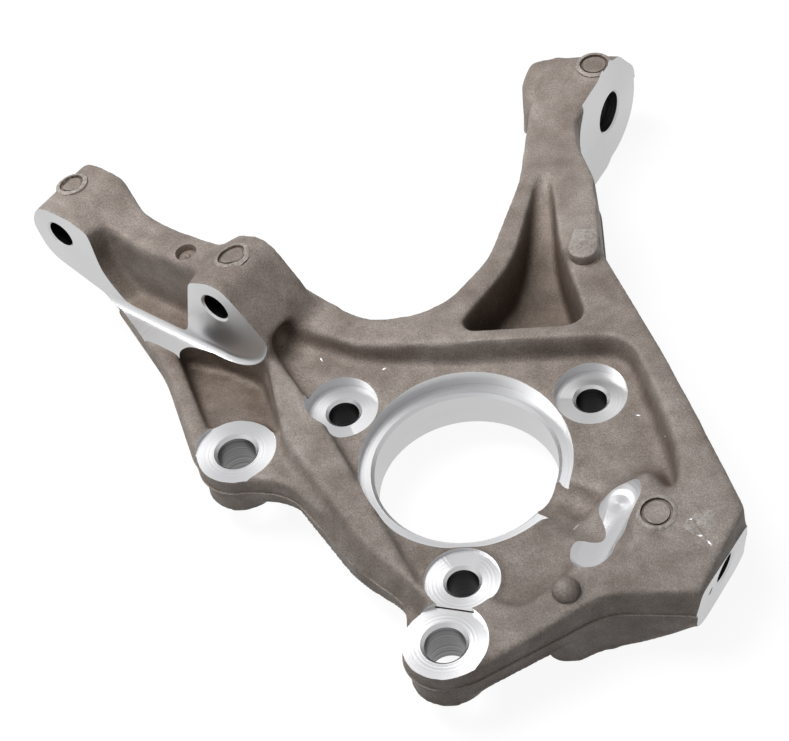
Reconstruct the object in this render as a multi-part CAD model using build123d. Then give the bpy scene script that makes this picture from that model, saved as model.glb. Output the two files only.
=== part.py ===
from build123d import *
import math
import os

# A cast aluminium steering knuckle, machined after casting. Millimetres.
# The origin is on the bearing bore's axis, in the plane of the machined ring
# round its inboard rim. +Z points inboard, to the side where the hub bolts'
# heads sit. +Y points to the upper link arm. The hub unit seats on the far side.

# Bearing bore and hub seat
bore_r = 43.0
bore_ring_r = 50.0
hub_seat_depth = 19.5
hub_ring_r = 58.0
hub_bolt_circle_r = 67.8
hub_bolt_count = 3
hub_bolt_first_angle = 30.0
hub_bolt_hole_r = 7.35
hub_bolt_spot_r = 17.2
hub_bolt_spot_z = 3.0
hub_bolt_pad_r = 17.0
hole_chamfer = 1.0

# Casting levels: ridges, pocket floors, webs and the lower flanges' foot
parting_z = -5.0
draft = 3.0
pocket_draft = 7.0
ridge_flank_slope = 26.0
ridge_z = 23.0
top_fall_x = 0.0527
top_fall_y = 0.1184
top_at_origin = 16.2
pocket_floor_z = 3.6
pocket_floor_rise = 6.0
pocket_rise_y = 57.0
lower_rim_z = -16.0
web_under_z = -12.0
flange_foot_z = -34.0
pocket_round = 3.0

# Triangular pocket in the root of the top arm
arm_pocket_floor_z = -8.0
arm_pocket_floor_end_y = 95.0
arm_pocket_floor_slope = 0.42

# Caliper bosses
caliper_upper = (-108.9, 13.5)
caliper_lower = (-7.2, -99.9)
caliper_hole_r = 9.2
caliper_boss_r = 19.0
caliper_spot_r = 19.5
caliper_spot_z = 3.0
caliper_foot_z = -20.5

# Shelf on the left, between the diagonal ridge and the outer rib
shelf_z = 5.0
shelf_pocket_z = 3.4
shelf_pocket_fall = 0.2

# Upper link boss, a level cylinder at the end of the top arm
link_face = (72.2, 240.3, parting_z)
link_azimuth = 332.7
link_boss_r = 31.0
link_boss_length = 44.0
link_boss_far_y = 273.0
link_far_slope = 35.0
link_back_round = 12.0
link_foot_z = -38.8
link_facing_r = 41.0
link_bore_r = 11.1
link_bore_chamfer = 1.0

# Ear pair on the left arm, with one machined wall and a ledge under it
ear_near = (-118.7, 76.0)
ear_run_azimuth = 146.0
ear_z = 36.0
ear_spacing = 102.0
ear_hole_r = 7.35
ear_cut_r = 34.0
ear_cut_reach = 14.0
ear_cut_round = 4.0
ear_stock = 2.5
ear_web_recess = 10.0

# Wheel speed sensor bore in the right-hand block
sensor_face = (115.0, -62.7, -3.0)
sensor_azimuth = -29.5
sensor_tilt = 7.0
sensor_bore_r = 7.4
sensor_bore_depth = 46.0
sensor_clearance_r = 10.0
sensor_clearance_end = 95.0
sensor_screw_offset = 13.8
sensor_screw_r = 2.1
sensor_screw_depth = 14.0

# The block narrows to a rounded pad at the sensor face
pad_width = 54.0
pad_height = 41.0
pad_round = 16.0
pad_depth = 40.0
pad_root_width = 120.0
pad_root_height = 80.0
pad_root_round = 12.0
pad_far_reach = 28.0

# Relief milled into the block's shoulder, a slot whose floor edge is rounded
shoulder_slope = 36.0
relief_far = (69.9, -30.6)
relief_near = (56.1, -58.5)
relief_r = 10.5
relief_z = 7.5
relief_round = 6.0

# Raised ejector marks as x, y, radius and top, and the dome's centre
ejector_marks = [
    (65.8, 242.6, 9.1, 27.0), (57.5, 109.5, 7.6, 27.2), (86.6, -44.4, 6.6, 19.3), (35.3, 92.0, 6.5, -7.2),
]
dome_place = (45.4, -79.1, 6.0)
dome_r = 7.0

# Outlines seen along +Z, each corner as x, y and its rounding
plate_corners = [
    (104, -86, 4), (126.3, -45, 3), (121.5, -31, 12), (94, 46, 100), (68, 112, 45), (65.5, 163, 24),
    (58, 187, 16), (56.5, 209, 5), (36, 242, 5), (30, 216, 5), (25, 165, 80), (10, 112, 45),
    (-15, 77, 39), (-48, 77, 30), (-98, 118, 10), (-97, 58, 20), (-80, -11, 30),
    (-51, -53, 60), (-28, -71, 12), (-23, -104, 10), (-2, -120, 14), (40, -96, 50), (62, -83, 30),
]
# Limit of the upper half, which slopes back from the diagonal ridge's outer foot
ridge_limit_corners = [
    (300, -250, 5), (300, 400, 5), (-260, 400, 5), (-260, 110, 5), (-114, 40, 20),
    (-80, -9, 30), (-51, -50, 60), (-20, -80, 5), (-60, -250, 5),
]
main_pocket_corners = [
    (60, -76, 8), (84, -33, 5), (99, -33, 8), (96, -5, 40), (78, 56, 18),
    (-12, 57, 150), (-50, 61, 30), (-72, 71, 20), (-92, 80, 7), (-95, 66, 8),
    (-62, 9, 80), (-18, -78, 8), (10, -82, 10), (27, -89, 14), (44, -75, 8),
]
arm_pocket_corners = [
    (42.5, 168, 3), (46.5, 118, 60), (60, 64, 9), (-6, 64, 6), (23, 108, 80), (35.2, 168, 3),
]
link_boss_corners = [(27, 190, 5), (110, 190, 5), (110, 275, 5), (27, 275, 5)]
link_foot_corners = [(74, 240, 4), (59, 210, 4), (49, 213, 6), (56, 240, 6)]
block_shoulder_corners = [
    (92, -10, 6), (110, -44, 6), (76, -104, 6), (30, -88, 10), (44, -62, 14), (62, -32, 14), (74, -10, 10),
]
shelf_corners = [
    (-60, 0, 2), (-85, 100, 2), (-98, 114, 6), (-150, 128, 12), (-183, 121, 5),
    (-149.5, 67, 90), (-130, 13, 12), (-108, -5, 10), (-84, -7, 30), (-64, -30, 2),
]
shelf_pocket_corners = [
    (-85, 14, 6), (-100, 64, 5), (-106, 71, 4), (-140, 85, 5), (-146, 80, 4),
    (-123, 24, 8), (-108, 24, 6),
]
web_relief_corners = [
    (60, -140, 2), (60, -88, 8), (36, -88, 8), (30, -66, 10), (66, -46, 20), (84, 20, 30), (48, 64, 18),
    (-66, 54, 20), (-125, 98, 10), (-260, 98, 2), (-260, -140, 2),
]
arm_under_pocket_corners = [(54, 108, 8), (52, 200, 6), (41, 200, 6), (22, 108, 8)]
block_under_pocket_corners = [
    (92, -70, 8), (108, -46, 10), (108, -24, 10), (88, 26, 10), (80, -42, 16), (52, -70, 8),
]

# Side profile of the left arm, seen square to the ears' wall: along the run
# from the near ear, above the ear holes, and the corner's rounding
arm_profile = [
    (-33, -41, 2), (-33, -11, 4), (-5, 19, 13), (20, 8, 24), (62, 4, 60),
    (92, 15.5, 14), (113, 15.5, 12), (121, 1, 14), (115, -19, 16), (78, -33, 30), (62, -41, 2),
]
# Plan of the left arm: along the run, behind the wall, and the rounding
arm_plan = [
    (-40, -ear_stock, 3), (-40, 34, 6), (-24, 38, 10), (13, 38, 5), (17, 30, 5),
    (70, 30, 12), (88, 38, 12), (117, 38, 6), (120, 16, 10), (122, -ear_stock, 3),
]
# Recess between the ears, seen square to the wall
recess_profile = [
    (8, 40, 2), (19, 2, 14), (28, -33, 8), (62, -33, 14), (76, -14, 24), (81, 40, 2),
]


def face_of(corners):
    """Closed flat face whose corners are rounded, always turning to the left."""
    turn = sum(a[0] * b[1] - b[0] * a[1] for a, b in zip(corners, corners[1:] + corners[:1]))
    ordered = corners if turn > 0 else corners[::-1]
    points = [(across, along) for across, along, _ in ordered]
    rounds = [rounding for _, _, rounding in ordered]
    return make_face(FilletPolyline(*points, radius=rounds, close=True))


def rise(corners, bottom, top, taper=draft):
    """Drafted solid standing on an outline."""
    return extrude(Pos(0, 0, bottom) * face_of(corners), amount=top - bottom, taper=taper)


def hang(corners, top, bottom, taper=draft):
    """Drafted solid hanging below an outline."""
    return mirror(rise(corners, -top, -bottom, taper), about=Plane.XY)


def post(centre, radius, bottom, top, taper=0.0):
    """Round boss or cutter along Z."""
    return extrude(Pos(centre[0], centre[1], bottom) * Circle(radius), amount=top - bottom, taper=taper)


def wedge_under(profile, x_from, x_to):
    """Solid whose section in Y and Z runs along X."""
    section = face_of([(along, up, 0) for along, up in profile])
    return Plane.YZ * Pos(0, 0, x_from) * extrude(section, amount=x_to - x_from)


def polar(radius, angle):
    return (radius * math.cos(math.radians(angle)), radius * math.sin(math.radians(angle)))


def level_plane(origin, azimuth, tilt=0.0):
    """Plane whose normal points outwards along an azimuth, dipping by tilt."""
    flat = math.cos(math.radians(tilt))
    out = (
        flat * math.cos(math.radians(azimuth)),
        flat * math.sin(math.radians(azimuth)),
        -math.sin(math.radians(tilt)),
    )
    along = (-math.sin(math.radians(azimuth)), math.cos(math.radians(azimuth)), 0)
    return Plane(origin=origin, x_dir=along, z_dir=out)


hub_bolt_places = [
    polar(hub_bolt_circle_r, hub_bolt_first_angle + 360 / hub_bolt_count * turn)
    for turn in range(hub_bolt_count)
]
link_plane = level_plane(link_face, link_azimuth)
sensor_plane = level_plane(sensor_face, sensor_azimuth, sensor_tilt)
ear_plane = Plane(
    origin=(*ear_near, ear_z),
    x_dir=(math.cos(math.radians(ear_run_azimuth)), math.sin(math.radians(ear_run_azimuth)), 0),
    z_dir=(math.sin(math.radians(ear_run_azimuth)), -math.cos(math.radians(ear_run_azimuth)), 0),
)


def upper_plate():
    """Upper half of the plate and the top arm, its top falling to the front."""
    body = rise(plate_corners, parting_z, ridge_z + 4)
    fall = Plane(origin=(0, 0, top_at_origin), z_dir=(-top_fall_x, -top_fall_y, 1))
    body -= fall * Pos(0, 0, 50) * Box(700, 700, 100)
    body -= Pos(0, 0, ridge_z + 50) * Box(700, 700, 100)
    body &= rise(ridge_limit_corners, parting_z, ridge_z + 4, ridge_flank_slope)
    return body


def sensor_clearance():
    """Valley cast round the sensor's tip, on to the notch in the bore's ring."""
    valley = extrude(Circle(sensor_clearance_r), amount=sensor_bore_depth - sensor_clearance_end)
    return sensor_plane * Pos(0, 0, -sensor_bore_depth) * valley


def main_pocket():
    """Cutter for the wide pocket round the bore, its floor rising to the far wall."""
    cutter = hang(main_pocket_corners, ridge_z + 3, pocket_floor_z, pocket_draft)
    floor_edges = cutter.faces().sort_by(Axis.Z)[0].edges()
    cutter = fillet(floor_edges, pocket_round)
    rising_floor = wedge_under(
        [
            (0, pocket_floor_z),
            (pocket_rise_y, pocket_floor_z + pocket_floor_rise),
            (2 * pocket_rise_y, pocket_floor_z + 2 * pocket_floor_rise),
            (2 * pocket_rise_y, 0),
            (0, 0),
        ],
        -120,
        120,
    )
    return cutter - rising_floor + sensor_clearance()


def arm_pocket():
    """Cutter for the triangular pocket, its back wall sloping up to the tip."""
    cutter = hang(arm_pocket_corners, ridge_z + 3, arm_pocket_floor_z - 4, pocket_draft)
    run = 110
    floor = wedge_under(
        [
            (0, arm_pocket_floor_z),
            (arm_pocket_floor_end_y, arm_pocket_floor_z),
            (arm_pocket_floor_end_y + run, arm_pocket_floor_z + run * arm_pocket_floor_slope),
            (arm_pocket_floor_end_y + run, arm_pocket_floor_z - 60),
            (0, arm_pocket_floor_z - 60),
        ],
        -50,
        100,
    )
    return cutter - floor


def shelf():
    """Low shelf on the left with its sloping pocket."""
    body = rise(shelf_corners, parting_z, shelf_z)
    body += hang(shelf_corners, parting_z, lower_rim_z, 12)
    cutter = hang(shelf_pocket_corners, shelf_z + 2, -14, 10)
    reach = 100
    floor = wedge_under(
        [
            (caliper_upper[1], shelf_pocket_z),
            (caliper_upper[1] + reach, shelf_pocket_z - reach * shelf_pocket_fall),
            (caliper_upper[1] + reach, -60),
            (caliper_upper[1], -60),
        ],
        -190,
        -60,
    )
    return body - (cutter - floor)


def lower_half():
    """Rim, web and deep flanges on the hidden side."""
    body = hang(plate_corners, parting_z, flange_foot_z)
    body -= rise(web_relief_corners, flange_foot_z - 1, lower_rim_z, pocket_draft)
    body -= rise(arm_under_pocket_corners, flange_foot_z - 1, arm_pocket_floor_z - 6, pocket_draft)
    body -= rise(block_under_pocket_corners, flange_foot_z - 1, lower_rim_z, pocket_draft)
    return body


def hub_seat():
    """Round seat for the hub unit with a pad behind each of its bolts."""
    seat = post((0, 0), hub_ring_r, -hub_seat_depth, parting_z)
    return seat + [post(place, hub_bolt_pad_r, -hub_seat_depth, parting_z) for place in hub_bolt_places]


def block_end():
    """Cutter that narrows the block to the pad round the sensor face."""
    nose = loft(
        [
            RectangleRounded(pad_width, pad_height, pad_round),
            Pos(0, 0, -pad_depth) * RectangleRounded(pad_root_width, pad_root_height, pad_root_round),
        ]
    )
    reach = 120
    slab = Pos(pad_far_reach - reach / 2, 0, -pad_depth / 2 + 10) * Box(reach, reach, pad_depth + 20)
    return sensor_plane * (slab - nose)


def block_shoulder():
    """Slope from the block's top down to the pocket floor."""
    slope = rise(block_shoulder_corners, 0, ridge_z, shoulder_slope)
    return (slope & upper_plate()) - sensor_clearance()


def caliper_bosses():
    bosses = Part()
    for centre in (caliper_upper, caliper_lower):
        bosses += post(centre, caliper_boss_r, parting_z, caliper_spot_z + 0.8)
        lower = mirror(post(centre, caliper_boss_r, -parting_z, -caliper_foot_z, draft), about=Plane.XY)
        bosses += lower
    return bosses


def left_arm():
    """Raised arm with the two ears, cast a little proud of its machined wall."""
    side = ear_plane * Pos(0, 0, -20) * extrude(face_of(arm_profile), amount=80)
    plan = Plane(origin=(*ear_near, -60), x_dir=ear_plane.x_dir, z_dir=(0, 0, -1))
    top_view = extrude(plan * face_of(arm_plan), amount=-160)
    body = side & top_view
    recess = ear_plane * Pos(0, 0, ear_web_recess) * extrude(
        face_of(recess_profile), amount=-(ear_web_recess + 1.5), taper=-12
    )
    return body - recess - main_pocket()


def link_boss():
    """Level round boss at the end of the top arm, trimmed to the arm's outline."""
    barrel = extrude(Circle(link_boss_r), amount=-link_boss_length)
    barrel = link_plane * fillet(barrel.edges().sort_by(Axis.Z)[0], link_back_round)
    barrel &= rise(link_boss_corners, -60, 60, 0)
    slope = Plane(origin=(0, link_boss_far_y, parting_z), z_dir=(0, 1, math.tan(math.radians(link_far_slope))))
    return barrel - slope * Pos(0, 0, 50) * Box(300, 300, 100)


def raised_marks():
    """Round ejector marks on the ridges and the dome beside the lower caliper boss."""
    marks = Pos(*dome_place) * Sphere(dome_r)
    for x, y, radius, top in ejector_marks:
        marks += post((x, y), radius, top - 7, top)
    return marks


def bored(plane, radius, depth, chamfer_width):
    """Drilled hole going in behind a plane, with a chamfered mouth."""
    hole = extrude(Circle(radius), amount=-depth)
    mouth = extrude(Circle(radius + chamfer_width), amount=-chamfer_width, taper=45)
    return plane * (hole + mouth)


def ear_wall_cut():
    """Milled wall of the ears, its cutter path rounded about both holes."""
    path = SlotCenterToCenter(ear_spacing, 2 * ear_cut_r)
    cutter = extrude(Pos(ear_spacing / 2, 0) * path, amount=-ear_cut_reach)
    return ear_plane * fillet(cutter.faces().sort_by(Axis.Z)[-1].edges(), ear_cut_round)


def shoulder_relief():
    """End-milled slot along the block's shoulder."""
    path = SlotCenterToCenter(math.dist(relief_far, relief_near), 2 * relief_r)
    azimuth = math.degrees(math.atan2(relief_near[1] - relief_far[1], relief_near[0] - relief_far[0]))
    middle = [(far + near) / 2 for far, near in zip(relief_far, relief_near)]
    cutter = extrude(path, amount=ridge_z)
    cutter = fillet(cutter.faces().sort_by(Axis.Z)[0].edges(), relief_round)
    return Pos(*middle, relief_z) * Rot(0, 0, azimuth) * cutter


def machining():
    """Everything that is turned, drilled, bored or milled after casting."""
    cuts = [
        post((0, 0), bore_r, -80, 10),
        post((0, 0), bore_ring_r, 0, 40),
        bored(link_plane, link_bore_r, link_boss_length + 1, link_bore_chamfer),
        link_plane * extrude(Circle(link_facing_r), amount=20),
        bored(sensor_plane, sensor_bore_r, sensor_bore_depth, hole_chamfer),
        bored(sensor_plane * Pos(-sensor_screw_offset, 0), sensor_screw_r, sensor_screw_depth, 0.4),
        sensor_plane * Pos(0, 0, 15) * Box(160, 160, 30),
        ear_wall_cut(),
        shoulder_relief(),
    ]
    for place in hub_bolt_places:
        cuts.append(post(place, hub_bolt_hole_r, -80, 40))
        cuts.append(post(place, hub_bolt_spot_r, hub_bolt_spot_z, 40))
    for centre in (caliper_upper, caliper_lower):
        cuts.append(post(centre, caliper_hole_r, -80, 40))
        cuts.append(post(centre, caliper_spot_r, caliper_spot_z, 40))
    for run in (0, ear_spacing):
        front = Plane(origin=ear_plane.from_local_coords((run, 0, 0)), x_dir=(0, 0, 1), z_dir=-ear_plane.z_dir)
        cuts.append(bored(front, ear_hole_r, 60, hole_chamfer))
    return cuts


castings = [
    upper_plate() - main_pocket() - arm_pocket() - block_end(),
    lower_half() - block_end(),
    block_shoulder(),
    shelf(),
    hub_seat(),
    caliper_bosses(),
    left_arm(),
    link_boss(),
    hang(link_foot_corners, parting_z, link_foot_z),
    raised_marks(),
]
knuckle = castings[0] + castings[1:]
knuckle -= machining()

os.makedirs("parts", exist_ok=True)
export_step(knuckle, "parts/steering_knuckle.step")
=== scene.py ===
import bpy
import bmesh
import math
import numpy as np
from mathutils import Matrix, Vector
from mathutils.bvhtree import BVHTree


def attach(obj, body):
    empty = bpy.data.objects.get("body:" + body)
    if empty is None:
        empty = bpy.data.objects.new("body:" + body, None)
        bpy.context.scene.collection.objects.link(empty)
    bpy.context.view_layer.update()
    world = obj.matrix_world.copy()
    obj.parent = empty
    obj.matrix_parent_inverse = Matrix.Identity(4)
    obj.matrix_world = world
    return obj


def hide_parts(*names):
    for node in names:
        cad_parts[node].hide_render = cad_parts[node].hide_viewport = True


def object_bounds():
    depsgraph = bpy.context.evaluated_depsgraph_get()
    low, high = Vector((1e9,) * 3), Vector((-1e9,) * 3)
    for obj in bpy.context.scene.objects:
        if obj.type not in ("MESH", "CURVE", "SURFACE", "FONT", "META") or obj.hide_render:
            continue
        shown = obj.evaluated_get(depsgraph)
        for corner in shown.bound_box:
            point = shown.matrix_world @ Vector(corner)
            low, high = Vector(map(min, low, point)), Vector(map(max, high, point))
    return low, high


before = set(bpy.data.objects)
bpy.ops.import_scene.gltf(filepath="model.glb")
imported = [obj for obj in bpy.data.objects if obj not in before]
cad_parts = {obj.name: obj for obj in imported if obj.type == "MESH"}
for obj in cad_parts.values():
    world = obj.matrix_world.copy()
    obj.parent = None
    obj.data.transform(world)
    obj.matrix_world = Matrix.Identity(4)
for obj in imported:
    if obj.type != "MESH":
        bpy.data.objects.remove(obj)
cad_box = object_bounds()

MM = 0.001

# Places and sizes of what is machined, in millimetres, as in the part's source
BORE_R = 43.0
RING_R = 50.0
SEAT_R = 58.0
SEAT_Z = -19.5
BOLT_CIRCLE_R = 67.8
BOLT_ANGLES = (30.0, 150.0, 270.0)
BOLT_HOLE_R = 7.35
BOLT_SPOT_R = 17.2
SPOT_Z = 3.0
CALIPER_PLACES = ((-108.9, 13.5), (-7.2, -99.9))
CALIPER_HOLE_R = 9.2
CALIPER_SPOT_R = 19.5
PARTING_Z = -5.0
LINK_FACE = Vector((72.2, 240.3, PARTING_Z))
LINK_AZIMUTH = 332.7
LINK_BORE_R = 11.1
LINK_FACING_R = 41.0
EAR_NEAR = Vector((-118.7, 76.0, 36.0))
EAR_RUN_AZIMUTH = 146.0
EAR_SPACING = 102.0
EAR_HOLE_R = 7.35
EAR_CUT_R = 34.0
EAR_CUT_REACH = 14.0
EAR_CUT_ROUND = 4.0
SENSOR_FACE = Vector((115.0, -62.7, -3.0))
SENSOR_AZIMUTH = -29.5
SENSOR_TILT = 7.0
SENSOR_BORE_R = 7.4
SENSOR_BORE_DEPTH = 46.0
SENSOR_SEEN_DEPTH = 38.0
SCREW_OFFSET = 13.8
SCREW_R = 2.1
SCREW_DEPTH = 14.0

# Heights that lie clear below and above the casting, where the through cuts end
BELOW = -80
ABOVE = 60

# Chamfers at the mouths of the drilled holes, how deep the ear drill goes, and the
# block that faces the sensor pad
HOLE_CHAMFER = 1.0
SCREW_CHAMFER = 0.4
EAR_DRILL_DEPTH = 60
SENSOR_CUT_SIZE = (120, 120, 30)

# Widths of the bevels at the mouths of the bore and the plan holes
BOLT_BEVEL = 1.4
CALIPER_BEVEL = 1.6
BORE_BEVEL = 1.6

# Relief milled into the block's shoulder, and how deep the tool went in the casting
RELIEF_FAR = (69.9, -30.6)
RELIEF_NEAR = (56.1, -58.5)
RELIEF_R = 10.5
RELIEF_ROUND = 6.0
RELIEF_Z = 7.5
RELIEF_SEEN_Z = 5.5

# Slope from the block's inner edge down to the pocket floor, as the corners of a solid
SLOPE_CORNERS = (
    (84, -26, 17.4), (60.7, -72.6, 10.7), (67, -17.4, 3.4), (36, -58, 3.4),
    (84, -26, -4), (60.7, -72.6, -4), (67, -18, -4), (38, -58, -4),
)

# Foot of the neck between the top arm and the link boss, and its reach along the boss
NECK_FOOT = ((31, 190, 22.6), (47, 190, 22.6), (31, 190, -5), (47, 190, -5))
NECK_R = 31.0
NECK_REACH = (-30, 2.6)

# The block's top is trimmed flat round its ejector mark
LOW_PIN = Vector((86.6, -44.4, 15.6))
LOW_PIN_TRIM = [(0, 0), (9, 0), (9, 12), (0, 12)]
BLOCK_TOP_NORMAL = Vector((-0.0527, -0.1184, 1)).normalized()

# Valley cast across the slope, from the notch in the bore's ring
VALLEY_START = Vector((33.6, -17.0, 9.0))
VALLEY_AZIMUTH = -50.0
VALLEY_RISE = 13.5
VALLEY_R = 14.0
VALLEY_LENGTH = 48.0

# Round marks of the ejector pins as x, y, disc radius, rim radius
PIN_MARKS = (
    (65.8, 242.6, 6.0, 7.3),
    (86.6, -44.4, 5.8, 7.2),
    (-196.5, 153.5, 4.8, 6.2),
    (-109.6, 96.0, 5.6, 7.0),
)
PIN_MOAT_DEPTH = 0.8
PIN_RIM_HEIGHT = 0.6

# Raised tongue on the top arm: its round end, and where its top meets the arm
TONGUE_TIP = Vector((57.8, 108.0, 29.6))
TONGUE_R = 7.4
TONGUE_END = Vector((59.2, 121.0, 28.2))
TONGUE_HALF = 6.0
TONGUE_BEVEL = ((0, 7), (0, 1.2), (0.4, 0.4), (1.2, 0))

# Dome beside the lower caliper boss, and the dimple in the ears' arm
DOME_PLACE = Vector((46.0, -80.0, 8.6))
DOME_R = 6.4
DIMPLE = (-134.9, 108.5)
DIMPLE_PROFILE = [(0, -1.4), (1.6, -3.2), (4.4, -3.2), (6.2, 2), (0, 2)]

# Gap between the lower hub bolt's spotface and the lower caliper's
GAP_PLACE = (-3.3, -82.6)
GAP_AZIMUTH = -12.6
GAP_SIZE = (17.4, 0.9, 1.6)

# Small knocks that show bright metal as x, y, azimuth, half length
KNOCKS = (
    (104.5, -57.5, 10, 1.6),
    (108.5, -61.5, 140, 2.0),
    (50.4, -39.6, 52, 3.2),
    (80.0, 20.0, 20, 1.5),
    (-39.5, 54.4, 30, 1.4),
    (101, -49, 30, 1.1),
    (92, 2, 70, 1.2),
    (-70, 62, 130, 1.6),
)
KNOCK_HALF_WIDTH = 0.45
KNOCK_DEPTH = 0.4

# Flash at the parting line stands proud, and the lower half is set back under it,
# except inside pockets, where the other wall is nearer than this width
FLASH = 0.7
SETBACK = 1.2
STEP_HEIGHT = 0.6
POCKET_WIDTH = 45.0
LEVEL_TOLERANCE = 0.01

# A face counts as machined where its corners and its middle lie this near a cutter
STOCK_TOLERANCE = 0.06
FACET_SAG = 0.4
MACHINING_STOCK = 2.6

# Cast skin: its grain, its blends all over, and wider blends as place, reach, passes
SKIN_VOXEL = 1.35
SKIN_SMOOTHING = 12
SKIN_TRIANGLES = 165000
WIDE_BLENDS = (
    ((62, -44, 6), 34, 16),
    ((-88, 78, 20), 34, 60),
    ((92, -14, 8), 26, 40),
    ((84, 18, 8), 26, 40),
    ((-158, 103, 34), 40, 50),
)

# Edges that turn by more than this stay crisp
SHARP_DEGREES = 32

# How finely round shapes are divided
BORE_SEGMENTS = 192
TURNED_SEGMENTS = 128
SLOT_SEGMENTS = 48
ROUND_STEPS = 8

# Where the skin's direction is sampled about a mark
SAMPLE_OFFSETS = ((3, 0), (-3, 0), (0, 3), (0, -3), (0, 0))

# Numbers of the finishes in the piece's list
CAST, MACHINED, BRIGHT_BORE, SHADE_PAINTED_BORE = range(4)

# Lamps as name, place in metres, size, watts
LAMPS = (
    ("key_lamp", (-0.5, 0.1, 1.35), 0.8, 22),
    ("fill_lamp", (-1.1, -0.7, 0.9), 1.2, 1.2),
)
LAMP_AIM = Vector((0, 0.08, 0))

# Half width of the floor
FLOOR_HALF = 4000

# Camera fitted to the photograph's machined faces
CAMERA_PLACE = Vector((95.328, -632.693, 783.682))
CAMERA_RIGHT = Vector((0.99058131, 0.03895231, -0.1312684))
CAMERA_DOWN = Vector((-0.05742181, -0.75213332, -0.65650453))
CAMERA_AHEAD = Vector((-0.12430371, 0.65785879, -0.7428125))
CAMERA_LENS = 99.66


def outward(azimuth, dip=0.0):
    """Direction along an azimuth, dipping below the level by dip degrees."""
    flat = math.cos(math.radians(dip))
    return Vector(
        (
            flat * math.cos(math.radians(azimuth)),
            flat * math.sin(math.radians(azimuth)),
            -math.sin(math.radians(dip)),
        )
    )


LINK_OUT = outward(LINK_AZIMUTH)
SENSOR_OUT = outward(SENSOR_AZIMUTH, SENSOR_TILT)
SENSOR_ALONG = outward(SENSOR_AZIMUTH + 90)
EAR_RUN = outward(EAR_RUN_AZIMUTH)
EAR_OUT = outward(EAR_RUN_AZIMUTH + 90)
UP = Vector((0, 0, 1))
ORIGIN = Vector((0, 0, 0))
BOLT_PLACES = [
    Vector((BOLT_CIRCLE_R * math.cos(math.radians(a)), BOLT_CIRCLE_R * math.sin(math.radians(a)), 0))
    for a in BOLT_ANGLES
]


def link(obj):
    """The object joins the scene."""
    bpy.context.scene.collection.objects.link(obj)
    return obj


def mesh_object(name, bm):
    """A new object from a bmesh whose coordinates are in millimetres."""
    bmesh.ops.recalc_face_normals(bm, faces=bm.faces)
    bmesh.ops.scale(bm, vec=(MM, MM, MM), verts=bm.verts)
    mesh = bpy.data.meshes.new(name)
    bm.to_mesh(mesh)
    bm.free()
    return link(bpy.data.objects.new(name, mesh))


def applied(obj):
    """The object's modifiers are made part of its mesh."""
    depsgraph = bpy.context.evaluated_depsgraph_get()
    made = bpy.data.meshes.new_from_object(obj.evaluated_get(depsgraph))
    obj.modifiers.clear()
    old = obj.data
    obj.data = made
    bpy.data.meshes.remove(old)
    return obj


def turn_to(centre, axis):
    """Matrix that stands the Z axis along an axis at a centre."""
    return Matrix.Translation(centre) @ axis.to_track_quat("Z", "Y").to_matrix().to_4x4()


def add_lathed(bm, centre, axis, profile, segments=TURNED_SEGMENTS):
    """Closed turned body whose profile is radius and height along the axis."""
    place = turn_to(centre, axis)
    rings = []
    for radius, height in profile:
        if radius == 0:
            rings.append([bm.verts.new(place @ Vector((0, 0, height)))])
            continue
        ring = []
        for step in range(segments):
            angle = 2 * math.pi * step / segments
            spot = Vector((radius * math.cos(angle), radius * math.sin(angle), height))
            ring.append(bm.verts.new(place @ spot))
        rings.append(ring)
    for low, high in zip(rings, rings[1:]):
        for step in range(segments):
            after = (step + 1) % segments
            corners = [
                low[step % len(low)],
                low[after % len(low)],
                high[after % len(high)],
                high[step % len(high)],
            ]
            bm.faces.new(list(dict.fromkeys(corners)))


def add_ring(bm, centre, axis, section, segments=48):
    """Closed ring whose section is radius and height along the axis."""
    place = turn_to(centre, axis)
    loops = []
    for step in range(segments):
        angle = 2 * math.pi * step / segments
        spots = [Vector((r * math.cos(angle), r * math.sin(angle), h)) for r, h in section]
        loops.append([bm.verts.new(place @ spot) for spot in spots])
    for step, loop in enumerate(loops):
        after = loops[(step + 1) % segments]
        for side in range(len(section)):
            turn = (side + 1) % len(section)
            bm.faces.new((loop[side], loop[turn], after[turn], after[side]))


def add_block(bm, centre, x_dir, z_dir, size):
    """Closed block whose sides follow two directions."""
    x_axis = x_dir.normalized()
    z_axis = z_dir.normalized()
    y_axis = z_axis.cross(x_axis)
    turn = Matrix((x_axis, y_axis, z_axis)).transposed().to_4x4()
    bmesh.ops.create_cube(
        bm, size=1.0, matrix=Matrix.Translation(centre) @ turn @ Matrix.Diagonal((*size, 1))
    )


def hole_profile(hole_r, mouth_z, spot_r):
    """Profile of a hole through the plate with a spotface over it."""
    return [
        (0, BELOW),
        (hole_r, BELOW),
        (hole_r, mouth_z),
        (spot_r, mouth_z),
        (spot_r, ABOVE),
        (0, ABOVE),
    ]


def bevel_profile(hole_r, mouth_z, width):
    """Profile of a 45 degree countersink that leaves a bevel of a width."""
    over = 0.6
    return [
        (0, mouth_z - width - over),
        (hole_r - over, mouth_z - width - over),
        (hole_r + width + over, mouth_z + over),
        (0, mouth_z + over),
    ]


def machined_faces(bm, cutters):
    """Faces of the solid that lie on the skin of one of the cutters."""
    depsgraph = bpy.context.evaluated_depsgraph_get()
    trees = [BVHTree.FromObject(cutter, depsgraph) for cutter in cutters]

    def near(tree, spot, distance):
        return tree.find_nearest(spot, distance * MM)[0] is not None

    found = []
    for face in bm.faces:
        corners = [vert.co for vert in face.verts]
        middle = face.calc_center_median()
        for tree in trees:
            on_corners = all(near(tree, spot, STOCK_TOLERANCE) for spot in corners)
            if on_corners and near(tree, middle, FACET_SAG):
                found.append(face)
                break
    return found


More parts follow.
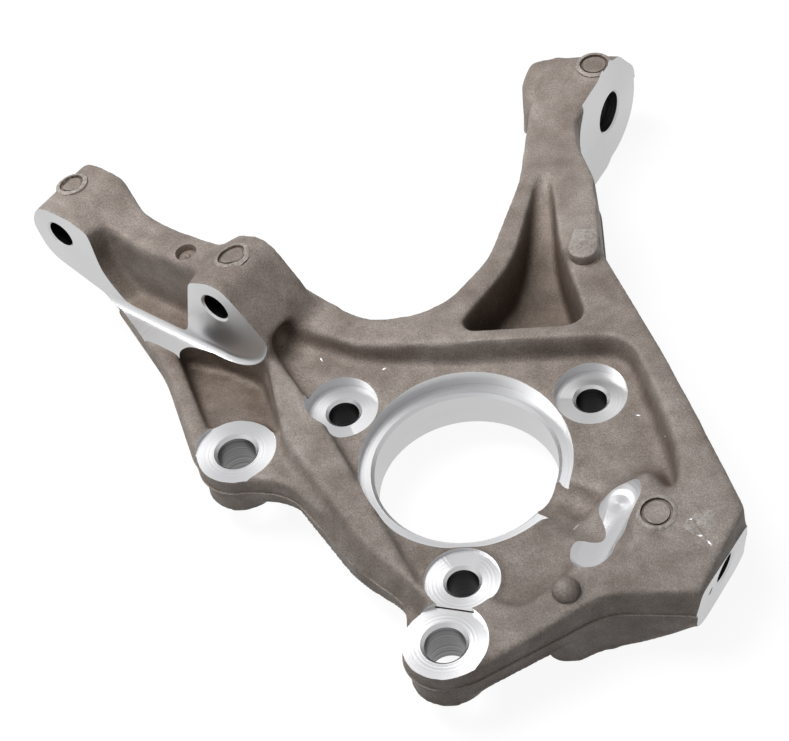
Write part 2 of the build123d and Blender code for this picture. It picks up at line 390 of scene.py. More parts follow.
def add_stock(bm, cutters):
    """Stock standing proud of every finished face, as on the raw casting."""
    finished = machined_faces(bm, cutters)
    lift = {}
    for face in finished:
        for vert in face.verts:
            lift[vert] = lift.get(vert, Vector()) + face.normal * face.calc_area()
    raised = {
        vert: bm.verts.new(vert.co + total.normalized() * MACHINING_STOCK * MM)
        for vert, total in lift.items()
    }
    lowered = {vert: bm.verts.new(vert.co) for vert in lift}
    sides = {}
    for face in finished:
        corners = list(face.verts)
        bm.faces.new([raised[vert] for vert in corners])
        bm.faces.new([lowered[vert] for vert in reversed(corners)])
        for start, end in zip(corners, corners[1:] + corners[:1]):
            # A side between two finished faces gets no wall
            if (end, start) in sides:
                del sides[(end, start)]
            else:
                sides[(start, end)] = True
    for start, end in sides:
        bm.faces.new((lowered[start], lowered[end], raised[end], raised[start]))


def add_hull(bm, corners, unit=MM):
    """Closed convex solid round corners in millimetres; a mesh in millimetres takes unit 1."""
    verts = [bm.verts.new(Vector(corner) * unit) for corner in corners]
    hull = bmesh.ops.convex_hull(bm, input=verts)
    spare = [item for item in hull["geom_interior"] if isinstance(item, bmesh.types.BMVert)]
    bmesh.ops.delete(bm, geom=spare, context="VERTS")


def neck_corners():
    """Corners of the solid that carries the top arm's surface on to the boss."""
    corners = [Vector(corner) for corner in NECK_FOOT]
    near = UP.cross(LINK_OUT) * -1
    for along in NECK_REACH:
        for angle in range(0, 91, 10):
            turn = math.radians(angle)
            sweep = near * math.cos(turn) + UP * math.sin(turn)
            corners.append(LINK_FACE + LINK_OUT * along + sweep * NECK_R)
        corners.append(LINK_FACE + LINK_OUT * along)
    return corners


def valley_cutter():
    """Trough with a round end, which runs from the bore's ring into the block."""
    steps = 16
    profile = [(0, -12), (VALLEY_R, -12)]
    for step in range(steps + 1):
        angle = math.radians(90 * step / steps)
        radius = VALLEY_R * math.cos(angle) if step < steps else 0
        profile.append((radius, VALLEY_LENGTH + VALLEY_R * math.sin(angle)))
    bm = bmesh.new()
    add_lathed(bm, VALLEY_START, outward(VALLEY_AZIMUTH, -VALLEY_RISE), profile)
    return mesh_object("valley_core", bm)


def remesh(skin):
    """One even skin round everything that the object holds."""
    even = skin.modifiers.new("skin", "REMESH")
    even.mode = "VOXEL"
    even.voxel_size = SKIN_VOXEL * MM
    return applied(skin)


def vertex_places(mesh):
    """Places of the vertices in millimetres, one row each."""
    places = np.empty(len(mesh.vertices) * 3)
    mesh.vertices.foreach_get("co", places)
    return places.reshape(-1, 3) / MM


def smooth(skin, passes, group=""):
    """Blends the skin's edges, all over or where a vertex group says."""
    blend = skin.modifiers.new("blend", "SMOOTH")
    blend.factor = 0.5
    blend.iterations = passes
    blend.vertex_group = group
    applied(skin)


def soften(skin, centre, reach, passes):
    """Wider blends in a region of the casting, fading out at its edge."""
    offset = vertex_places(skin.data) - np.array(centre)
    weight = np.clip(1.6 - np.linalg.norm(offset, axis=1) / reach * 1.6, 0, 1)
    group = skin.vertex_groups.new(name="soft")
    for index in np.flatnonzero(weight > 0):
        group.add([int(index)], float(weight[index]), "REPLACE")
    smooth(skin, passes, "soft")
    skin.vertex_groups.clear()


def cast_skin(cutters):
    """The casting as it leaves the die: one blended skin with rounded edges."""
    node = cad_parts["steering_knuckle"]
    bm = bmesh.new()
    bm.from_mesh(node.data)
    bmesh.ops.remove_doubles(bm, verts=bm.verts, dist=1e-6)
    add_stock(bm, cutters)
    add_hull(bm, SLOPE_CORNERS)
    add_hull(bm, neck_corners())
    mesh = bpy.data.meshes.new("knuckle_casting")
    bm.to_mesh(mesh)
    bm.free()
    skin = remesh(link(bpy.data.objects.new("knuckle_casting", mesh)))
    cut(skin, valley_cutter(), "DIFFERENCE")
    trim = bmesh.new()
    add_lathed(trim, LOW_PIN, BLOCK_TOP_NORMAL, LOW_PIN_TRIM)
    cut(skin, mesh_object("pin_trim", trim), "DIFFERENCE")
    remesh(skin)
    smooth(skin, SKIN_SMOOTHING)
    for place, reach, passes in WIDE_BLENDS:
        soften(skin, place, reach, passes)
    triangles = sum(len(face.vertices) - 2 for face in skin.data.polygons)
    if triangles > SKIN_TRIANGLES:
        thin = skin.modifiers.new("thin", "DECIMATE")
        thin.ratio = SKIN_TRIANGLES / triangles
        applied(skin)
    step_at_parting(skin.data)
    return skin


def step_at_parting(mesh):
    """Trimmed flash where the die halves met, and the lower half set back under it."""
    bm = bmesh.new()
    bm.from_mesh(mesh)
    for level in (PARTING_Z + STEP_HEIGHT, PARTING_Z, PARTING_Z - STEP_HEIGHT):
        geometry = bm.verts[:] + bm.edges[:] + bm.faces[:]
        plane = (0, 0, level * MM)
        bmesh.ops.bisect_plane(bm, geom=geometry, dist=1e-7, plane_co=plane, plane_no=UP)
    bm.normal_update()
    tree = BVHTree.FromBMesh(bm)
    moves = []
    for vert in bm.verts:
        height = vert.co.z / MM - PARTING_Z
        # 1 on a wall, falling to 0 where the skin leans over
        upright = min(max(1.2 - 2 * abs(vert.normal.z), 0), 1)
        if height > LEVEL_TOLERANCE or upright == 0:
            continue
        way_out = Vector((vert.normal.x, vert.normal.y, 0)).normalized()
        if tree.ray_cast(vert.co + way_out * MM, way_out, POCKET_WIDTH * MM)[0]:
            continue
        if abs(height) < LEVEL_TOLERANCE:
            moves.append((vert, FLASH * upright))
        elif height < 0:
            moves.append((vert, -SETBACK * upright * min(-height / STEP_HEIGHT, 1)))
    for vert, distance in moves:
        vert.co += Vector((vert.normal.x, vert.normal.y, 0)) * distance * MM
    bm.to_mesh(mesh)
    bm.free()


def keep_in_box(mesh):
    """Nothing stands outside the construction's box."""
    low, high = (np.array(corner) for corner in cad_box)
    mesh.vertices.foreach_set("co", np.clip(vertex_places(mesh) * MM, low, high).ravel())
    mesh.update()


def surface_at(tree, x, y):
    """Place and mean normal of the casting's upper skin at a plan position."""
    total = Vector()
    for dx, dy in SAMPLE_OFFSETS:
        above = Vector((x + dx, y + dy, 100)) * MM
        spot, normal = tree.ray_cast(above, -UP)[:2]
        total += normal or UP
    return spot / MM, total.normalized()


def tongue_corners():
    """Corners of the raised tongue, bevelled and with a rounded lower end."""
    corners = []
    steps = 16
    for inset, drop in TONGUE_BEVEL:
        reach = TONGUE_R - inset
        for step in range(steps + 1):
            angle = math.pi * (1 + step / steps)
            spot = Vector((reach * math.cos(angle), reach * math.sin(angle), -drop))
            corners.append(TONGUE_TIP + spot)
        for side in (-1, 1):
            corners.append(TONGUE_END + Vector((side * (TONGUE_HALF - inset), 0, -drop)))
    return corners


def press_marks(skin):
    """Ejector marks with rim and moat, the tongue, dome and dimple, and bright knocks."""
    tree = BVHTree.FromObject(skin, bpy.context.evaluated_depsgraph_get())
    moats = bmesh.new()
    rims = bmesh.new()
    for x, y, disc_r, rim_r in PIN_MARKS:
        spot, normal = surface_at(tree, x, y)
        moat = [
            (disc_r, -PIN_MOAT_DEPTH),
            (rim_r, -PIN_MOAT_DEPTH),
            (rim_r + 0.2, 3),
            (disc_r - 0.2, 3),
        ]
        add_ring(moats, spot, normal, moat)
        rim = [
            (rim_r - 0.4, -2),
            (rim_r + 2.4, -2),
            (rim_r + 2.2, 0),
            (rim_r + 1.2, PIN_RIM_HEIGHT),
            (rim_r, PIN_RIM_HEIGHT),
        ]
        add_ring(rims, spot, normal, rim)
    add_hull(rims, tongue_corners(), 1)
    dome = [(0, -4), (DOME_R, -4), (DOME_R, 1)]
    for step in range(1, ROUND_STEPS):
        angle = math.radians(90 * step / ROUND_STEPS)
        dome.append((DOME_R * math.cos(angle), 1 + DOME_R * math.sin(angle)))
    add_lathed(rims, DOME_PLACE, UP, dome + [(0, 0.8 + DOME_R)])
    spot, normal = surface_at(tree, *DIMPLE)
    add_lathed(moats, spot, normal, DIMPLE_PROFILE, 32)
    knocks = bmesh.new()
    for x, y, azimuth, half in KNOCKS:
        spot, normal = surface_at(tree, x, y)
        place = turn_to(spot, normal) @ Matrix.Rotation(math.radians(azimuth), 4, "Z")
        shape = Matrix.Diagonal((half, KNOCK_HALF_WIDTH, KNOCK_DEPTH, 1))
        bmesh.ops.create_icosphere(knocks, subdivisions=2, radius=1.0, matrix=place @ shape)
    cut(skin, mesh_object("pin_rims", rims), "UNION")
    cut(skin, mesh_object("pin_moats", moats), "DIFFERENCE")
    cut(skin, mesh_object("knocks", knocks), "DIFFERENCE", MACHINED)


def plan_cutters():
    """Turned and drilled cuts square to the plate, in sets that don't touch each other."""
    first = bmesh.new()
    ring = [(0, BELOW), (BORE_R, BELOW), (BORE_R, 0), (RING_R, 0), (RING_R, 40), (0, 40)]
    add_lathed(first, ORIGIN, UP, ring, BORE_SEGMENTS)
    caliper = hole_profile(CALIPER_HOLE_R, SPOT_Z, CALIPER_SPOT_R)
    for x, y in CALIPER_PLACES:
        add_lathed(first, Vector((x, y, 0)), UP, caliper)
    second = bmesh.new()
    for place in BOLT_PLACES:
        add_lathed(second, place, UP, hole_profile(BOLT_HOLE_R, SPOT_Z, BOLT_SPOT_R))
    third = bmesh.new()
    seat = [(0, -30), (SEAT_R, -30), (SEAT_R, SEAT_Z), (0, SEAT_Z)]
    add_lathed(third, ORIGIN, UP, seat, BORE_SEGMENTS)
    return [mesh_object("plan_cut", bm) for bm in (first, second, third)]


def mouth_cutter():
    """Countersinks at the mouths of the bore, the hub bolt holes and the caliper holes."""
    bm = bmesh.new()
    add_lathed(bm, ORIGIN, UP, bevel_profile(BORE_R, 0, BORE_BEVEL), BORE_SEGMENTS)
    for place in BOLT_PLACES:
        add_lathed(bm, place, UP, bevel_profile(BOLT_HOLE_R, SPOT_Z, BOLT_BEVEL))
    caliper = bevel_profile(CALIPER_HOLE_R, SPOT_Z, CALIPER_BEVEL)
    for x, y in CALIPER_PLACES:
        add_lathed(bm, Vector((x, y, 0)), UP, caliper)
    return mesh_object("mouth_cut", bm)


def link_cutter():
    """Faced disc and chamfered bore of the upper link boss."""
    bm = bmesh.new()
    profile = [
        (0, BELOW),
        (LINK_BORE_R, BELOW),
        (LINK_BORE_R, -HOLE_CHAMFER),
        (LINK_BORE_R + HOLE_CHAMFER, 0),
        (LINK_FACING_R, 0),
        (LINK_FACING_R, 20),
        (0, 20),
    ]
    add_lathed(bm, LINK_FACE, LINK_OUT, profile)
    return mesh_object("link_cut", bm)


def slot_cutter(name, start, end, axis, radius, edge_round, reach):
    """End-milled slot: its floor is at start and end, its floor edge is rounded."""
    bm = bmesh.new()
    along = (end - start).normalized()
    across = axis.cross(along)
    levels = [(radius, reach)]
    for step in range(ROUND_STEPS + 1):
        angle = math.radians(90 * step / ROUND_STEPS)
        inset = edge_round * (1 - math.cos(angle))
        levels.append((radius - inset, edge_round * (1 - math.sin(angle))))
    rings = []
    for ring_radius, height in levels:
        ring = []
        for centre, first in ((start, 90), (end, -90)):
            for step in range(SLOT_SEGMENTS + 1):
                angle = math.radians(first + 180 * step / SLOT_SEGMENTS)
                sweep = along * math.cos(angle) + across * math.sin(angle)
                ring.append(bm.verts.new(centre + sweep * ring_radius + axis * height))
        rings.append(ring)
    count = 2 * SLOT_SEGMENTS + 2
    for low, high in zip(rings, rings[1:]):
        for step in range(count):
            after = (step + 1) % count
            bm.faces.new((low[step], low[after], high[after], high[step]))
    bm.faces.new(rings[0])
    bm.faces.new(rings[-1])
    return mesh_object(name, bm)


def ear_wall_cutter():
    """Milled wall and ledge of the ears."""
    ends = (EAR_NEAR, EAR_NEAR + EAR_RUN * EAR_SPACING)
    return slot_cutter("ear_wall_cut", *ends, EAR_OUT, EAR_CUT_R, EAR_CUT_ROUND, EAR_CUT_REACH)


def relief_cutter(floor_z):
    """Slot milled along the block's shoulder."""
    far, near = (Vector((*place, floor_z)) for place in (RELIEF_FAR, RELIEF_NEAR))
    return slot_cutter("relief_cut", far, near, UP, RELIEF_R, RELIEF_ROUND, 20)


def drill_cutters(sensor_depth):
    """Ear holes, and the sensor face with its bore and screw hole."""
    ears = bmesh.new()
    hole = drill_profile(EAR_HOLE_R, EAR_DRILL_DEPTH, HOLE_CHAMFER)
    for run in (0, EAR_SPACING):
        add_lathed(ears, EAR_NEAR + EAR_RUN * run, EAR_OUT, hole)
    face = bmesh.new()
    middle = SENSOR_FACE + SENSOR_OUT * (SENSOR_CUT_SIZE[2] / 2)
    add_block(face, middle, SENSOR_ALONG, SENSOR_OUT, SENSOR_CUT_SIZE)
    bores = bmesh.new()
    hole = drill_profile(SENSOR_BORE_R, sensor_depth, HOLE_CHAMFER)
    add_lathed(bores, SENSOR_FACE, SENSOR_OUT, hole)
    screw = SENSOR_FACE - SENSOR_ALONG * SCREW_OFFSET
    add_lathed(bores, screw, SENSOR_OUT, drill_profile(SCREW_R, SCREW_DEPTH, SCREW_CHAMFER))
    named = (("ear_drill", ears), ("sensor_face_cut", face), ("sensor_drill", bores))
    return [mesh_object(name, bm) for name, bm in named]


def drill_profile(radius, depth, chamfer):
    """Profile of a blind hole behind a face, with a chamfered mouth."""
    mouth_r = radius + chamfer
    return [(0, -depth), (radius, -depth), (radius, -chamfer), (mouth_r, 0), (mouth_r, 5), (0, 5)]


def cut(skin, cutter, operation, finish=CAST):
    """One exact cut or addition, whose new faces take a finish by its number."""
    for material in skin.data.materials:
        cutter.data.materials.append(material)
    for face in cutter.data.polygons:
        face.material_index = finish
    change = skin.modifiers.new("cut", "BOOLEAN")
    change.operation = operation
    change.object = cutter
    change.solver = "MANIFOLD"
    applied(skin)
    bpy.data.objects.remove(cutter)


def node_tree(material):
    """Empty node tree of a material, and its links."""
    material.use_nodes = True
    nodes = material.node_tree.nodes
    nodes.clear()
    return nodes, material.node_tree.links


def cast_finish():
    """Shot blasted cast aluminium: warm grey, mottled, with painted shade that darkens and browns
    the hollows.
    """
    material = bpy.data.materials.new("cast_aluminium")
    nodes, links = node_tree(material)
    out = nodes.new("ShaderNodeOutputMaterial")
    shader = nodes.new("ShaderNodeBsdfPrincipled")
    shader.inputs["Metallic"].default_value = 0.25
    links.new(shader.outputs["BSDF"], out.inputs["Surface"])
    place = nodes.new("ShaderNodeTexCoord")

    def noise(scale, detail, roughness=0.6):
        made = nodes.new("ShaderNodeTexNoise")
        made.inputs["Scale"].default_value = scale
        made.inputs["Detail"].default_value = detail
        made.inputs["Roughness"].default_value = roughness
        links.new(place.outputs["Object"], made.inputs["Vector"])
        return made

    def ramp(source, stops):
        made = nodes.new("ShaderNodeValToRGB")
        made.color_ramp.elements.remove(made.color_ramp.elements[1])
        first = made.color_ramp.elements[0]
        first.position, first.color = stops[0][0], (*stops[0][1], 1)
        for position, colour in stops[1:]:
            made.color_ramp.elements.new(position).color = (*colour, 1)
        links.new(source, made.inputs["Fac"])
        return made

    def mix(kind, factor, first, second):
        made = nodes.new("ShaderNodeMix")
        made.data_type = "RGBA"
        made.blend_type = kind
        if isinstance(factor, float):
            made.inputs["Factor"].default_value = factor
        else:
            links.new(factor, made.inputs["Factor"])
        links.new(first, made.inputs["A"])
        links.new(second, made.inputs["B"])
        return made.outputs["Result"]

    def mottle(scale, detail, stops, roughness=0.6):
        return ramp(noise(scale, detail, roughness).outputs["Fac"], stops)

    cloudy = mottle(24, 5, [(0.34, (0.185, 0.153, 0.131)), (0.66, (0.285, 0.249, 0.222))])
    patches = mottle(95, 4, [(0.3, (0.84, 0.82, 0.8)), (0.7, (1.14, 1.14, 1.15))], 0.65)
    speck = mottle(1300, 3, [(0.3, (0.6, 0.59, 0.58)), (0.7, (1.4, 1.4, 1.4))], 0.75)
    # Painted shade: ambient occlusion darkens and browns the casting's colour in hollows, pockets
    # and corners
    painted_shade_ao = nodes.new("ShaderNodeAmbientOcclusion")
    painted_shade_ao.samples = 8
    painted_shade_ao.only_local = True
    painted_shade_ao.inputs["Distance"].default_value = 0.065
    painted_shade_tones = [(0.2, (0.17, 0.12, 0.09)), (0.52, (0.72, 0.66, 0.6)), (0.82, (1.0, 1.0, 1.0))]
    painted_shade_ramp = ramp(painted_shade_ao.outputs["AO"], painted_shade_tones)
    colour = mix("MULTIPLY", 1.0, cloudy.outputs["Color"], speck.outputs["Color"])
    colour = mix("MULTIPLY", 1.0, colour, patches.outputs["Color"])
    colour = mix("MULTIPLY", 1.0, colour, painted_shade_ramp.outputs["Color"])
    # Rims are rubbed pale, unevenly
    edge = nodes.new("ShaderNodeNewGeometry")
    rubbed = ramp(edge.outputs["Pointiness"], [(0.51, (0, 0, 0)), (0.6, (0.8, 0.8, 0.8))])
    broken = mottle(420, 4, [(0.42, (0.1, 0.1, 0.1)), (0.62, (0.8, 0.8, 0.8))], 0.8)
    worn = mix("MULTIPLY", 1.0, rubbed.outputs["Color"], broken.outputs["Color"])
    pale = nodes.new("ShaderNodeRGB")
    pale.outputs[0].default_value = (0.5, 0.475, 0.45, 1)
    colour = mix("MIX", worn, colour, pale.outputs[0])
    # Painted light falloff: the casting's colour is darker towards the front and paler towards its
    # top arm at the back, where the light comes from
    painted_light_falloff = nodes.new("ShaderNodeMapRange")
    painted_light_falloff.inputs["From Min"].default_value = -0.09
    painted_light_falloff.inputs["From Max"].default_value = 0.2
    painted_light_falloff.inputs["To Min"].default_value = 0.76
    painted_light_falloff.inputs["To Max"].default_value = 1.16
    along = nodes.new("ShaderNodeSeparateXYZ")
    links.new(place.outputs["Object"], along.inputs[0])
    links.new(along.outputs["Y"], painted_light_falloff.inputs["Value"])
    colour = mix("MULTIPLY", 1.0, colour, painted_light_falloff.outputs["Result"])
    flecks = mottle(330, 6, [(0.6, (0, 0, 0)), (0.72, (0.45, 0.45, 0.45))], 0.85)
    colour = mix("MIX", flecks.outputs["Color"], colour, pale.outputs[0])
    links.new(colour, shader.inputs["Base Color"])
    rough = mottle(60, 4, [(0.3, (0.52, 0.52, 0.52)), (0.7, (0.68, 0.68, 0.68))])
    links.new(rough.outputs["Color"], shader.inputs["Roughness"])
    fine = nodes.new("ShaderNodeBump")
    fine.inputs["Strength"].default_value = 0.75
    fine.inputs["Distance"].default_value = 0.0004
    links.new(noise(1000, 3, 0.75).outputs["Fac"], fine.inputs["Height"])
    wavy = nodes.new("ShaderNodeBump")
    wavy.inputs["Strength"].default_value = 0.3
    wavy.inputs["Distance"].default_value = 0.001
    links.new(noise(120, 3).outputs["Fac"], wavy.inputs["Height"])
    links.new(fine.outputs["Normal"], wavy.inputs["Normal"])
    links.new(wavy.outputs["Normal"], shader.inputs["Normal"])
    return material


def machined_finish():
    """Bright cut aluminium with the tool's rings about each cut's own centre."""
    material = bpy.data.materials.new("machined_aluminium")
    nodes, links = node_tree(material)
    out = nodes.new("ShaderNodeOutputMaterial")
    shader = nodes.new("ShaderNodeBsdfPrincipled")
    shader.inputs["Metallic"].default_value = 0.85
    shader.inputs["Base Color"].default_value = (0.62, 0.62, 0.625, 1)
    shader.inputs["Anisotropic"].default_value = 0.5
    links.new(shader.outputs["BSDF"], out.inputs["Surface"])
    place = nodes.new("ShaderNodeTexCoord")
    centre = nodes.new("ShaderNodeAttribute")
    centre.attribute_name = "cut_centre"
    geometry = nodes.new("ShaderNodeNewGeometry")

    def vector_math(kind, first, second=None):
        made = nodes.new("ShaderNodeVectorMath")
        made.operation = kind
        links.new(first, made.inputs[0])
        if second is not None:
            links.new(second, made.inputs[1])
        return made

    arm = vector_math("SUBTRACT", place.outputs["Object"], centre.outputs["Vector"])
    around = vector_math("CROSS_PRODUCT", geometry.outputs["True Normal"], arm.outputs["Vector"])
    tangent = vector_math("NORMALIZE", around.outputs["Vector"])
    links.new(tangent.outputs["Vector"], shader.inputs["Tangent"])
    radius = vector_math("LENGTH", arm.outputs["Vector"])
    rings = nodes.new("ShaderNodeTexNoise")
    rings.noise_dimensions = "1D"
    rings.inputs["Scale"].default_value = 1100
    rings.inputs["Detail"].default_value = 3
    links.new(radius.outputs["Value"], rings.inputs["W"])
    bump = nodes.new("ShaderNodeBump")
    bump.inputs["Strength"].default_value = 0.3
    bump.inputs["Distance"].default_value = 0.0001
    links.new(rings.outputs["Fac"], bump.inputs["Height"])
    links.new(bump.outputs["Normal"], shader.inputs["Normal"])
    rough = nodes.new("ShaderNodeMapRange")
    rough.inputs["To Min"].default_value = 0.26
    rough.inputs["To Max"].default_value = 0.4
    links.new(rings.outputs["Fac"], rough.inputs["Value"])
    links.new(rough.outputs["Result"], shader.inputs["Roughness"])
    return material


def hole_finishes():
    """Bored walls with the tool's fine rings: bright ones, and nearly black ones that paint the
    shade deep inside the holes.
    """
    # The second finish is nearly black: painted shade on the walls of the hub bolt, ear and sensor
    # holes
    return [bored_finish("bored_aluminium", 0.2, 0.32), bored_finish("painted_shade_bore", 0.012, 0.45)]


def bored_finish(name, tone, roughness):
    """Bored wall of a tone, with rings along the bore's own axis."""
    material = bpy.data.materials.new(name)
    nodes, links = node_tree(material)
    out = nodes.new("ShaderNodeOutputMaterial")
    shader = nodes.new("ShaderNodeBsdfPrincipled")
    shader.inputs["Metallic"].default_value = 0.85
    shader.inputs["Roughness"].default_value = roughness
    links.new(shader.outputs["BSDF"], out.inputs["Surface"])
    place = nodes.new("ShaderNodeTexCoord")
    axis = nodes.new("ShaderNodeAttribute")
    axis.attribute_name = "cut_axis"
    depth = nodes.new("ShaderNodeVectorMath")
    depth.operation = "DOT_PRODUCT"
    links.new(place.outputs["Object"], depth.inputs[0])
    links.new(axis.outputs["Vector"], depth.inputs[1])
    rings = nodes.new("ShaderNodeTexNoise")
    rings.noise_dimensions = "1D"
    rings.inputs["Scale"].default_value = 700
    rings.inputs["Detail"].default_value = 2
    links.new(depth.outputs["Value"], rings.inputs["W"])
    tint = nodes.new("ShaderNodeValToRGB")
    tint.color_ramp.elements[0].position = 0.3
    tint.color_ramp.elements[0].color = (tone * 0.6, tone * 0.6, tone * 0.6, 1)
    tint.color_ramp.elements[1].position = 0.7
    tint.color_ramp.elements[1].color = (tone * 1.4, tone * 1.4, tone * 1.4, 1)
    links.new(rings.outputs["Fac"], tint.inputs["Fac"])
    links.new(tint.outputs["Color"], shader.inputs["Base Color"])
    bump = nodes.new("ShaderNodeBump")
    bump.inputs["Strength"].default_value = 0.4
    bump.inputs["Distance"].default_value = 0.0003
    links.new(rings.outputs["Fac"], bump.inputs["Height"])
    links.new(bump.outputs["Normal"], shader.inputs["Normal"])
    return material


def face_vectors(mesh, what):
    """Centres or normals of the faces, one row each."""
    values = np.empty(len(mesh.polygons) * 3)
    mesh.polygons.foreach_get(what, values)
    return values.reshape(-1, 3)


def mark_cut_centres(mesh):
    """Each machined face learns the centre its tool turned about; bored walls are set apart."""
    # Hub bolt, ear and sensor hole walls take the nearly black finish, painted shade deep in the
    # holes
    bright, dark = BRIGHT_BORE, SHADE_PAINTED_BORE
    ear_far = EAR_NEAR + EAR_RUN * EAR_SPACING
    caliper_reach = CALIPER_SPOT_R + 0.5
    # Centre, axis, reach about it, span along it, hole radius, finish of the hole's wall
    cuts = [(ORIGIN, UP, RING_R + 8, (-60, 20), 0, bright)]
    for place in BOLT_PLACES:
        cuts.append((place, UP, BOLT_SPOT_R + 0.5, (-60, 60), BOLT_HOLE_R, dark))
    for x, y in CALIPER_PLACES:
        cuts.append((Vector((x, y, 0)), UP, caliper_reach, (-60, 60), CALIPER_HOLE_R, bright))
    cuts += [
        (LINK_FACE, LINK_OUT, LINK_FACING_R + 1, (-80, 20), LINK_BORE_R, bright),
        (EAR_NEAR, EAR_OUT, EAR_CUT_R + 1, (-60, 20), EAR_HOLE_R, dark),
        (ear_far, EAR_OUT, 3 * EAR_CUT_R, (-60, 20), EAR_HOLE_R, dark),
        (Vector((*RELIEF_FAR, 0)), UP, 50, (-1, 20), 0, bright),
        (SENSOR_FACE, SENSOR_OUT, 60, (-60, 5), SENSOR_BORE_R, dark),
    ]
    count = len(mesh.polygons)
    centres = face_vectors(mesh, "center") / MM
    normals = face_vectors(mesh, "normal")
    kinds = np.empty(count, np.int32)
    mesh.polygons.foreach_get("material_index", kinds)
    found = np.zeros((count, 3))
    axes = np.zeros((count, 3))
    free = kinds == MACHINED
    for centre, axis, reach, (low, high), hole_r, wall in cuts:
        start, axis = np.array(centre), np.array(axis)
        offset = centres - start
        along = offset @ axis
        across = np.linalg.norm(offset - np.outer(along, axis), axis=1)
        mine = free & (across < reach) & (along > low) & (along < high)
        on_axis = start + np.outer(along, axis)
        found[mine] = on_axis[mine]
        # Walls run along the axis, and all that lies deep in a hole is wall
        upright = (np.abs(normals @ axis) < 0.5) | (along < -30)
        kinds[mine & upright & (across < hole_r + 0.02)] = wall
        axes[mine] = axis
        free &= ~mine
    for name, values in (("cut_centre", found * MM), ("cut_axis", axes)):
        layer = mesh.attributes.new(name, "FLOAT_VECTOR", "FACE")
        layer.data.foreach_set("vector", values.ravel())
    mesh.polygons.foreach_set("material_index", kinds)


def studio_sky():
    """Dim sky for the light, white behind the part, and a soft fade in what mirrors."""
    world = bpy.data.worlds.new("studio_sky")
    bpy.context.scene.world = world
    world.use_nodes = True
    nodes = world.node_tree.nodes
    links = world.node_tree.links
    nodes.clear()
    out = nodes.new("ShaderNodeOutputWorld")
    sky = nodes.new("ShaderNodeBackground")
    sky.inputs["Color"].default_value = (0.93, 0.96, 1.0, 1)
    sky.inputs["Strength"].default_value = 0.15
    seen = nodes.new("ShaderNodeBackground")
    seen.inputs["Color"].default_value = (1, 1, 1, 1)
    mirrored = nodes.new("ShaderNodeBackground")
    way = nodes.new("ShaderNodeTexCoord")
    parts = nodes.new("ShaderNodeSeparateXYZ")
    fade = nodes.new("ShaderNodeValToRGB")
    fade.color_ramp.elements[0].position = 0.25
    fade.color_ramp.elements[0].color = (0.95, 0.95, 0.96, 1)
    fade.color_ramp.elements[1].position = 0.95
    fade.color_ramp.elements[1].color = (0.6, 0.6, 0.61, 1)
    links.new(way.outputs["Generated"], parts.inputs["Vector"])
    links.new(parts.outputs["Z"], fade.inputs["Fac"])
    links.new(fade.outputs["Color"], mirrored.inputs["Color"])
    path = nodes.new("ShaderNodeLightPath")
    gloss = nodes.new("ShaderNodeMixShader")
    links.new(path.outputs["Is Glossy Ray"], gloss.inputs["Fac"])
    links.new(sky.outputs["Background"], gloss.inputs[1])
    links.new(mirrored.outputs["Background"], gloss.inputs[2])
    choose = nodes.new("ShaderNodeMixShader")
    links.new(path.outputs["Is Camera Ray"], choose.inputs["Fac"])
    links.new(gloss.outputs["Shader"], choose.inputs[1])
    links.new(seen.outputs["Background"], choose.inputs[2])
    links.new(choose.outputs["Shader"], out.inputs["Surface"])


def studio_floor():
    """Pale paper under the part."""
    bm = bmesh.new()
    bmesh.ops.create_grid(bm, x_segments=1, y_segments=1, size=FLOOR_HALF)
    floor = mesh_object("studio_floor", bm)
    for vertex in floor.data.vertices:
        vertex.co.z = cad_box[0][2]
    paper = bpy.data.materials.new("floor_paper")
    nodes, links = node_tree(paper)
    out = nodes.new("ShaderNodeOutputMaterial")
    paper_back = nodes.new("ShaderNodeBsdfDiffuse")
    paper_back.inputs["Color"].default_value = (0.18, 0.18, 0.18, 1)
    lit = nodes.new("ShaderNodeBsdfDiffuse")
    lit.inputs["Color"].default_value = (0.12, 0.12, 0.12, 1)
    path = nodes.new("ShaderNodeLightPath")
    glow = nodes.new("ShaderNodeEmission")
    glow.inputs["Strength"].default_value = 0.92
    both = nodes.new("ShaderNodeAddShader")
    direct = nodes.new("ShaderNodeMath")
    direct.operation = "MAXIMUM"
    choose = nodes.new("ShaderNodeMixShader")
    links.new(lit.outputs["BSDF"], both.inputs[0])
    links.new(glow.outputs["Emission"], both.inputs[1])
    links.new(path.outputs["Is Camera Ray"], direct.inputs[0])
    links.new(path.outputs["Is Glossy Ray"], direct.inputs[1])
    links.new(direct.outputs["Value"], choose.inputs["Fac"])
    links.new(paper_back.outputs["BSDF"], choose.inputs[1])
    links.new(both.outputs["Shader"], choose.inputs[2])
    links.new(choose.outputs["Shader"], out.inputs["Surface"])
    floor.data.materials.append(paper)


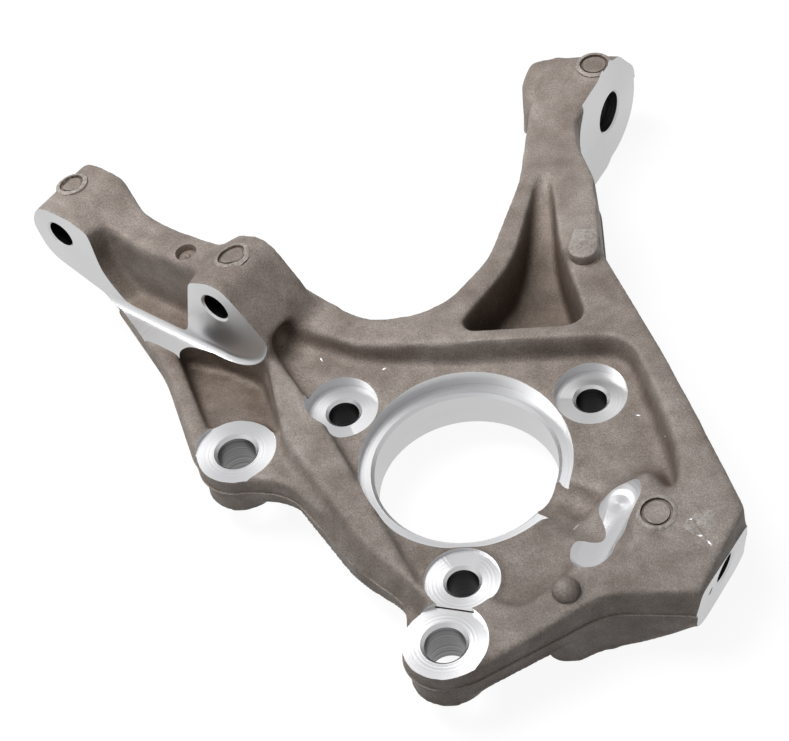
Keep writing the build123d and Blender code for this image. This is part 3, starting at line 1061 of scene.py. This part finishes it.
def studio_lamps():
    """Soft lamps turned to the part."""
    for name, place, size, watts in LAMPS:
        lamp = bpy.data.lights.new(name, "AREA")
        lamp.size = size
        lamp.energy = watts
        obj = link(bpy.data.objects.new(name, lamp))
        obj.location = place
        obj.rotation_euler = (LAMP_AIM - Vector(place)).to_track_quat("-Z", "Y").to_euler()


def photo_camera():
    """Camera at the photograph's view."""
    camera = bpy.data.cameras.new("photo_camera")
    camera.sensor_width = 36
    camera.lens = CAMERA_LENS
    camera.clip_end = 20
    eye = link(bpy.data.objects.new("photo_camera", camera))
    turn = Matrix((CAMERA_RIGHT, -CAMERA_DOWN, -CAMERA_AHEAD)).transposed().to_4x4()
    eye.matrix_world = Matrix.Translation(CAMERA_PLACE * MM) @ turn
    bpy.context.scene.camera = eye


def studio():
    """Sky, floor, lamps and camera."""
    studio_sky()
    studio_floor()
    studio_lamps()
    photo_camera()
    bpy.context.scene.view_settings.view_transform = "Standard"


def build_knuckle():
    """Casts the skin, machines it and gives it its finishes."""
    finished = plan_cutters() + [link_cutter(), ear_wall_cutter(), relief_cutter(RELIEF_Z)]
    finished += drill_cutters(SENSOR_BORE_DEPTH)
    skin = cast_skin(finished)
    for cutter in finished:
        bpy.data.objects.remove(cutter)
    skin.data.materials.clear()
    for finish in (cast_finish(), machined_finish(), *hole_finishes()):
        skin.data.materials.append(finish)
    press_marks(skin)
    cutters = plan_cutters() + [mouth_cutter(), link_cutter(), ear_wall_cutter()]
    cutters += [relief_cutter(RELIEF_SEEN_Z)] + drill_cutters(SENSOR_SEEN_DEPTH)
    for cutter in cutters:
        cut(skin, cutter, "DIFFERENCE", MACHINED)
    gap = bmesh.new()
    add_block(gap, Vector((*GAP_PLACE, SPOT_Z)), outward(GAP_AZIMUTH), UP, GAP_SIZE)
    cut(skin, mesh_object("gap", gap), "DIFFERENCE")
    keep_in_box(skin.data)
    mark_cut_centres(skin.data)
    skin.data.shade_smooth()
    skin.data.set_sharp_from_angle(angle=math.radians(SHARP_DEGREES))
    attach(skin, "root")
    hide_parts("steering_knuckle")


build_knuckle()
studio()
